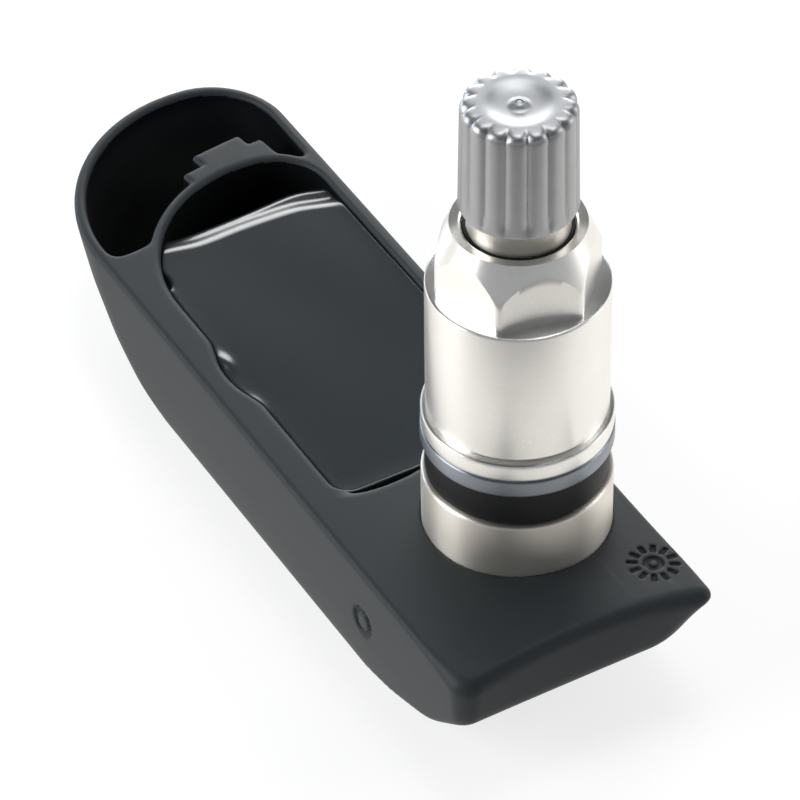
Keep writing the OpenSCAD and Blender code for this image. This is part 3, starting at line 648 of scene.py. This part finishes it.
def curve_through(x, xs, ys):
    """A smooth line through the given points."""
    return soft_line(x, xs, ys, np.linspace(-16, 12, 281), ROLL_STEP, ROLL_TAPS, ROLL_SOFTNESS)


def resin_top(x, y, plan):
    """The height of the poured surface: nearly flat, with slow waves and a slight sag along it."""
    waves = 0.03 * np.sin(x / 2.3 + 1) * np.sin(y / 5.1)
    sag = 0.05 * np.exp(-((x + 2) / 5) ** 2)
    top = RESIN_TOP + CLIMB * np.exp(np.minimum(plan, 0) / CLIMB_REACH) + waves - sag
    for spot_x, spot_y in BLOBS:
        away = ((x - spot_x) / BLOB_HALF_X) ** 2 + ((y - spot_y) / BLOB_HALF_Y) ** 2
        top = top + BLOB_H * np.exp(-away)
    return top


def resin_field(lines):
    x, y, z = np.meshgrid(*lines, indexing="ij", sparse=True)
    plan = pocket_plan(x, y, GAP)
    top = resin_top(x, y, plan)
    upper = round_max(y - curve_through(x, ROLL_X, ROLL_Y), z - top, ROLL_R)
    lower = round_max(y - curve_through(x, LOWER_X, LOWER_Y), z - top + LOWER_DOWN, LOWER_R)
    poured = round_max(smooth_min(upper, lower, ROLL_VALLEY), plan, RESIN_EDGE_R)
    poured = np.maximum(poured, hull_form(x, y, z, lines[2], WALL + GAP, FLOOR_T + GAP, INNER_EDGE_R))
    pit = np.sqrt(sum(((at - middle) / half) ** 2 for at, middle, half in zip((x, y, z), PIT, PIT_HALF)))
    return round_max(poured, (1 - pit) * 0.5, RESIN_EDGE_R)


resin_lines = [
    grid((-12.8, 8.2, 0.2)),
    grid((8.8, 12, 0.2), (12, 41.5, 0.35), (41.5, 47.6, 0.1)),
    grid((1.0, 8.2, 0.4), (8.2, 11.8, 0.1)),
]
RESIN_KEEP = 0.6
resin_pour = skin_of("resin_pour", resin_field, resin_lines, resin, RESIN_KEEP)
stands_for(resin_pour, "sensor", "resin", "potting_resin")


# ---- stem and what is stacked on it ----

COLLAR_TOP = 5.3
GROMMET_TOP = 8.65
WASHER_TOP = 10.25
FLANGE_TOP = 11.95
SLEEVE_TOP = 24.95
NUT_TOP = 30.85
RECESS = 30.15
NECK_TOP = 32.75
STEM_TOP = 40.95
ROOT, ROOT_R = -7.9, 5.5
ROOT_GROOVE_R, ROOT_GROOVE_LOW, ROOT_GROOVE_HIGH = 4.8, -5.3, -3.7
STEM_R, TIP_R, NECK_R = 4.025, 3.85, 4.15
BORE_R, CHAMBER_R, CHAMBER = 1.6, 2.6, 26.92
THREAD_PITCH, THREAD_DEPTH, THREAD_FADE, STEM_SIDES = 0.794, 0.16, 0.5, 120
GROMMET_R, WASHER_R, RING_BORE_R = 7.5, 7.85, 4.125


def stem():
    """Root, collar and tube; the tip carries a fine thread under the cap."""
    rings = [(r, z) for r, z in eased([
        (BORE_R, ROOT, 0), (ROOT_R, ROOT, 0.2), (ROOT_R, ROOT_GROOVE_LOW, 0),
        (ROOT_GROOVE_R, ROOT_GROOVE_LOW, 0), (ROOT_GROOVE_R, ROOT_GROOVE_HIGH, 0),
        (ROOT_R, ROOT_GROOVE_HIGH, 0), (ROOT_R, -COLLAR_SINK, 0), (COLLAR_R, -COLLAR_SINK, 0),
        (COLLAR_R, COLLAR_TOP, 0.35), (STEM_R, COLLAR_TOP, 0.1), (STEM_R, RECESS - 0.4, 0.2),
        (NECK_R, RECESS + 0.35, 0.3), (STEM_R, NECK_TOP - 0.6, 0.8), (STEM_R, NECK_TOP, 0.1)])]
    turns = np.arange(STEM_SIDES) / STEM_SIDES
    bottom, top = NECK_TOP + 0.3, STEM_TOP - 0.5
    rings.append((TIP_R - THREAD_DEPTH, NECK_TOP + 0.02))
    for z in np.arange(bottom, top, THREAD_PITCH / 6):
        wave = np.abs(((z - bottom) / THREAD_PITCH - turns) % 1 - 0.5) * 2
        fade = min(1, (z - bottom) / THREAD_FADE, (top - z) / THREAD_FADE)
        rings.append((TIP_R - THREAD_DEPTH + THREAD_DEPTH * fade * (1 - wave), z))
    rings += [(r, z) for r, z in eased([
        (TIP_R - 0.1, STEM_TOP - 0.4, 0), (TIP_R - 0.45, STEM_TOP, 0), (CHAMBER_R, STEM_TOP, 0.15),
        (CHAMBER_R, CHAMBER, 0), (BORE_R, CHAMBER, 0)])]
    return loft("valve_stem_turned", rings, stem_metal, STEM_SIDES)


stands_for(stem(), "sensor", "stem", "valve_stem")

grommet = lathe("grommet_ring", [
    (RING_BORE_R, COLLAR_TOP, 0.1), (GROMMET_R, COLLAR_TOP, 0.35), (GROMMET_R, GROMMET_TOP, 0.35),
    (RING_BORE_R, GROMMET_TOP, 0.1)], rubber)
stands_for(grommet, "sensor", "rubber", "grommet")

washer = lathe("washer_ring", [
    (RING_BORE_R, GROMMET_TOP, 0.05), (WASHER_R, GROMMET_TOP, 0.22), (WASHER_R, WASHER_TOP, 0.22),
    (RING_BORE_R, WASHER_TOP, 0.05)], washer_metal)
stands_for(washer, "sensor", "washer", "washer")


# Nut: half of its 12 mm hexagon, and how far out its corners are turned off
HEX_HALF, HEX_CORNER_R, HEX_TURN, NUT_SIDES = 6, 6.85, 16, 192
FLANGE_R, GROOVE_R, GROOVE_H, SLEEVE_R = 7.8, 7.15, 0.35, 7.4
NUT_BORE_R, NUT_RECESS_R, NUT_MOUTH_R = 4.085, 4.55, 4.75
CROWN_H, CROWN_TOP_R, CROWN_BEND = 3.3, 5.45, 1.1


def nut():
    """Flange, groove and sleeve turned round, then six flats under a rounded, turned crown."""
    swing = (360 * np.arange(NUT_SIDES) / NUT_SIDES + 30) % 60 - 30
    flat = HEX_HALF / np.cos(np.radians(swing))
    # The last point only gives the sleeve's top edge its rounding
    rings = [(r, z) for r, z in eased([
        (NUT_BORE_R, WASHER_TOP, 0.1), (FLANGE_R, WASHER_TOP, 0.3), (FLANGE_R, FLANGE_TOP, 0.4),
        (GROOVE_R, FLANGE_TOP, 0), (GROOVE_R, FLANGE_TOP + GROOVE_H, 0),
        (SLEEVE_R, FLANGE_TOP + GROOVE_H, 0.2), (SLEEVE_R, SLEEVE_TOP, 0.4),
        (6.9, SLEEVE_TOP, 0)])][:-1]
    # The crown cuts each flat on a curve: highest at the flat's middle, lowest at the corners
    drawn_in = np.maximum(HEX_CORNER_R - flat, 0) / (HEX_CORNER_R - CROWN_TOP_R)
    meet = drawn_in ** (1 / CROWN_BEND)
    foot = NUT_TOP - CROWN_H * (1 - meet)
    for t in np.linspace(0, 1, 8):
        rings.append((np.minimum(flat, HEX_CORNER_R), SLEEVE_TOP + (foot - SLEEVE_TOP) * t))
    for t in np.linspace(0.1, 1, 10):
        share = meet + (1 - meet) * t
        rings.append((HEX_CORNER_R + (CROWN_TOP_R - HEX_CORNER_R) * share ** CROWN_BEND,
                      NUT_TOP - CROWN_H * (1 - share)))
    rings += [(r, z) for r, z in eased([
        (NUT_MOUTH_R, NUT_TOP, 0.12), (NUT_RECESS_R, NUT_TOP - 0.2, 0), (NUT_RECESS_R, RECESS, 0),
        (NUT_BORE_R, RECESS, 0.05)])]
    return loft("nut_sleeve", rings, nut_metal, NUT_SIDES, turn=HEX_TURN, crease=28)


stands_for(nut(), "sensor", "nut", "nut")


# ---- cap ----

CAP_BOTTOM, CAP_H = 32.78, 10.0
CAP_R, CAP_TOP_R, CAP_BORE_R, CAP_CEILING = 4.75, 4.6, 3.91, 8.85
FLUTES, FLUTE_DEPTH, FLUTE_SHARPNESS, FLUTE_STEPS = 16, 0.26, 2.6, 12
# The flutes run between the lower rim and the top's edge, where they turn over it and fade inwards
FLUTE_IN_R, FLUTE_IN_FADE = 3.5, 0.9
FLUTE_LOW, FLUTE_LOW_FADE = 0.45, 0.4
CAP_EDGE_H, EDGE_DEEPER, EDGE_LESS_IN, EDGE_DOWN = 1.2, 0.3, 0.45, 1.1
ROW_STEP = 0.5


def strip(low, high, steps):
    """Faces between two rows of points that start at these numbers."""
    return [(low + k, low + k + 1, high + k + 1, high + k) for k in range(steps)]


def cap_lobe():
    """One ridge of the cap from its lower rim to the middle of its top, with the bore inside."""
    outline = eased([
        (CAP_BORE_R, 0, 0.05), (CAP_R, 0, 0.25), (CAP_TOP_R, CAP_H - 0.1, 1.3), (2.9, CAP_H, 0.8),
        (1.9, CAP_H - 0.32, 0.8), (0.9, CAP_H - 0.42, 0.5), (0.3, CAP_H - 0.02, 0.2)], steps=7)
    rows = []
    for (r0, z0), (r1, z1) in zip(outline, outline[1:]):
        count = max(1, int(np.hypot(r1 - r0, z1 - z0) / ROW_STEP))
        rows += [(r0 + (r1 - r0) * i / count, z0 + (z1 - z0) * i / count) for i in range(count)]
    rows.append(tuple(outline[-1]))
    across = np.linspace(-1, 1, FLUTE_STEPS + 1)
    angle = math.pi / FLUTES + math.pi / FLUTES * across
    valley = np.abs(across) ** FLUTE_SHARPNESS

    def arc(radius, height):
        return np.c_[radius * np.cos(angle), radius * np.sin(angle), CAP_BOTTOM + height + 0 * angle]

    points = []
    for r, z in rows:
        inside = np.clip((r - FLUTE_IN_R) / FLUTE_IN_FADE, 0, 1)
        side = inside * np.clip((z - FLUTE_LOW) / FLUTE_LOW_FADE, 0, 1)
        over = np.clip((z - CAP_H + CAP_EDGE_H) / CAP_EDGE_H, 0, 1)
        depth = FLUTE_DEPTH * side * (1 + EDGE_DEEPER * over)
        points.append(arc(r - depth * valley * (1 - EDGE_LESS_IN * over),
                          z - depth * valley * over * EDGE_DOWN))
    points += [arc(CAP_BORE_R, CAP_CEILING), arc(CAP_BORE_R, 0)]
    points.append([[0, 0, CAP_BOTTOM + CAP_H], [0, 0, CAP_BOTTOM + CAP_CEILING]])
    wide = FLUTE_STEPS + 1
    faces = []
    for i in range(len(rows) - 1):
        faces += strip(i * wide, (i + 1) * wide, FLUTE_STEPS)
    top, ceiling, foot, middle = (wide * (len(rows) + i) for i in (-1, 0, 1, 2))
    faces += [(top + k, top + k + 1, middle) for k in range(FLUTE_STEPS)]
    faces += strip(ceiling, foot, FLUTE_STEPS)
    faces += [(ceiling + k + 1, ceiling + k, middle + 1) for k in range(FLUTE_STEPS)]
    faces += strip(foot, 0, FLUTE_STEPS)
    return place("cap_lobe", np.vstack(points), faces, cap_metal)


def repeat_round(obj, count, material):
    """Copies a wedge round the axis, joins the seams and gives back one plain mesh."""
    tree = bpy.data.node_groups.new("round_the_axis", "GeometryNodeTree")
    sides = tree.interface
    sides.new_socket("Geometry", in_out="INPUT", socket_type="NodeSocketGeometry")
    count_in = sides.new_socket("Count", in_out="INPUT", socket_type="NodeSocketInt")
    seam_in = sides.new_socket("Seam", in_out="INPUT", socket_type="NodeSocketFloat")
    finish_in = sides.new_socket("Finish", in_out="INPUT", socket_type="NodeSocketMaterial")
    sides.new_socket("Geometry", in_out="OUTPUT", socket_type="NodeSocketGeometry")
    start = tree.nodes.new("NodeGroupInput")
    end = tree.nodes.new("NodeGroupOutput")
    spots = add(tree, "GeometryNodePoints", {"Count": start.outputs["Count"]})
    index = add(tree, "GeometryNodeInputIndex")
    step = add(tree, "ShaderNodeMath", {1: start.outputs["Count"]}, operation="DIVIDE")
    step.inputs[0].default_value = 2 * math.pi
    angle = add(tree, "ShaderNodeMath", {0: index.outputs[0], 1: step.outputs[0]}, operation="MULTIPLY")
    turn = add(tree, "ShaderNodeCombineXYZ", {"Z": angle.outputs[0]})
    copies = add(tree, "GeometryNodeInstanceOnPoints", {
        "Points": spots.outputs[0], "Instance": start.outputs["Geometry"], "Rotation": turn.outputs[0]})
    real = add(tree, "GeometryNodeRealizeInstances", {"Geometry": copies.outputs[0]})
    joined = add(tree, "GeometryNodeMergeByDistance", {
        "Geometry": real.outputs[0], "Distance": start.outputs["Seam"]})
    painted = add(tree, "GeometryNodeSetMaterial", {
        "Geometry": joined.outputs[0], "Material": start.outputs["Finish"]})
    tree.links.new(painted.outputs[0], end.inputs[0])
    modifier = obj.modifiers.new("round_the_axis", "NODES")
    modifier.node_group = tree
    modifier[count_in.identifier] = count
    modifier[seam_in.identifier] = 0.01 * MM
    modifier[finish_in.identifier] = material
    return applied(obj, modifier)


cap_mesh = repeat_round(cap_lobe(), FLUTES, cap_metal)
cap_mesh.name = "cap_fluted"
cap_mesh.polygons.foreach_set("use_smooth", [True] * len(cap_mesh.polygons))
cap_mesh.set_sharp_from_angle(angle=math.radians(60))
stands_for(new_object("cap_fluted", cap_mesh), "cap", "cap", "cap_shell")


# ---- core spring ----

# A copy of the spring's mesh stands in the frame in place of the CAD's spring
spring_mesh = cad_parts["core_spring"].data.copy()
spring_mesh.name = "spring_coils"
spring = new_object("spring_coils", spring_mesh)
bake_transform(spring)
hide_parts("core_spring")


# ---- stage, light and camera ----

FLOOR_REACH = 1500
FLOOR_Z = -DECK - 0.02
# The camera sees the floor's own glow mixed with lit paper, so that the object's shadow stays; farther
# out, where the lamps no longer reach, it sees the glow alone
FLOOR_GLOW = 1.22
GLOW_NEAR, GLOW_FAR = (150 * MM, 0.62), (400 * MM, 1.0)
# The object sees a bright floor beside and behind it, and a dim one well in front of it
AHEAD = (0.495, 0.869, 0)
DIM_FLOOR, BRIGHT_FLOOR = (-66 * MM, 0.2), (-44 * MM, 1.02)
# The surround that the object sees is bright low down and dim overhead
LOW_SKY, HIGH_SKY = (0.05, 0.7), (0.5, 0.06)


def white_floor():
    """White to the camera, with the object's shadow on it, and brighter or dimmer to the object."""
    material, tree, output = new_material("white_paper")
    spot = add(tree, "ShaderNodeTexCoord").outputs["Object"]
    glow = add(tree, "ShaderNodeEmission", Color=(1, 1, 1, 1), Strength=FLOOR_GLOW)
    paper = add(tree, "ShaderNodeBsdfDiffuse", Color=(0.85, 0.85, 0.85, 1))
    away = add(tree, "ShaderNodeVectorMath", {0: spot}, operation="LENGTH").outputs["Value"]
    share = mapped(tree, away, *zip(GLOW_NEAR, GLOW_FAR))
    seen = add(tree, "ShaderNodeMixShader", {0: share, 1: paper.outputs[0], 2: glow.outputs[0]})
    ahead = add(tree, "ShaderNodeVectorMath", {0: spot}, operation="DOT_PRODUCT")
    ahead.inputs[1].default_value = AHEAD
    strength = mapped(tree, ahead.outputs["Value"], *zip(DIM_FLOOR, BRIGHT_FLOOR),
                      interpolation_type="SMOOTHSTEP")
    thrown = add(tree, "ShaderNodeEmission", {"Strength": strength}, Color=(1, 0.975, 0.94, 1))
    path = add(tree, "ShaderNodeLightPath")
    lit = add(tree, "ShaderNodeMixShader", {
        0: path.outputs["Is Camera Ray"], 1: thrown.outputs[0], 2: seen.outputs[0]})
    tree.links.new(lit.outputs[0], output.inputs["Surface"])
    return material


def white_surround():
    """Plain white to the camera; to the object, light near the horizon and dim overhead."""
    world = bpy.data.worlds.new("white_surround")
    world.use_nodes = True
    sky = world.node_tree
    sky.nodes.clear()
    direction = add(sky, "ShaderNodeTexCoord").outputs["Generated"]
    height = add(sky, "ShaderNodeSeparateXYZ", {"Vector": direction}).outputs["Z"]
    strength = mapped(sky, height, *zip(LOW_SKY, HIGH_SKY), interpolation_type="SMOOTHSTEP")
    surround = add(sky, "ShaderNodeBackground", {"Strength": strength}, Color=(0.93, 0.96, 1.0, 1))
    plain = add(sky, "ShaderNodeBackground", Color=(1, 1, 1, 1), Strength=1.0)
    path = add(sky, "ShaderNodeLightPath")
    mixed = add(sky, "ShaderNodeMixShader", {
        0: path.outputs["Is Camera Ray"], 1: surround.outputs[0], 2: plain.outputs[0]})
    add(sky, "ShaderNodeOutputWorld", {"Surface": mixed.outputs[0]})
    return world


def lamp(name, at, size, watts, colour="#ffffff"):
    """A soft box at a place in millimetres, facing the middle of the object."""
    data = bpy.data.lights.new(name, "AREA")
    data.shape = "RECTANGLE"
    data.size, data.size_y = size[0] * MM, size[1] * MM
    data.energy = watts
    data.color = paint(colour)[:3]
    obj = new_object(name, data)
    obj.location = Vector(at) * MM
    aim = Vector((0, 15, 5)) * MM - obj.location
    obj.rotation_euler = aim.to_track_quat("-Z", "Y").to_euler()


def photo_camera():
    """The camera of the photo: a long lens from the front left, a little over 40 degrees up."""
    heading, pitch, roll = math.radians(29.624), math.radians(42.259), math.radians(-0.763)
    distance, focal_px, image_px, sensor = 450.0, 5535.0, 800, 36
    origin_px = (516.87, 509.5)
    ahead = Vector((math.sin(heading) * math.cos(pitch), math.cos(heading) * math.cos(pitch),
                    -math.sin(pitch)))
    right = Vector((math.cos(heading), -math.sin(heading), 0))
    down = ahead.cross(right)
    c, s = math.cos(roll), math.sin(roll)
    right, down = c * right - s * down, s * right + c * down
    across, below = ((px - image_px / 2) / focal_px * distance for px in origin_px)
    data = bpy.data.cameras.new("photo_camera")
    data.sensor_width = sensor
    data.lens = focal_px / image_px * sensor
    data.clip_start = 0.05
    data.clip_end = 20
    camera = new_object("photo_camera", data)
    turn = Matrix((right, -down, -ahead)).transposed().to_4x4()
    spot = -(right * across + down * below + ahead * distance)
    camera.matrix_world = Matrix.Translation(spot * MM) @ turn
    return camera


corners = [[x * FLOOR_REACH, y * FLOOR_REACH, FLOOR_Z] for x, y in ((-1, -1), (1, -1), (1, 1), (-1, 1))]
place("floor", corners, [(0, 1, 2, 3)], white_floor())
bpy.context.scene.world = white_surround()

lamp("top_box", (90, 90, 420), (200, 200), 0.6)
lamp("back_strip", (260, 450, 170), (420, 200), 1.6)
lamp("left_box", (-350, 120, 170), (220, 240), 1.1)
lamp("right_box", (330, -120, 190), (160, 220), 0.35)
lamp("toe_light", (-140, 420, 70), (220, 70), 0.4, "#d3e4f2")

bpy.context.scene.camera = photo_camera()
bpy.context.scene.view_settings.view_transform = "Standard"
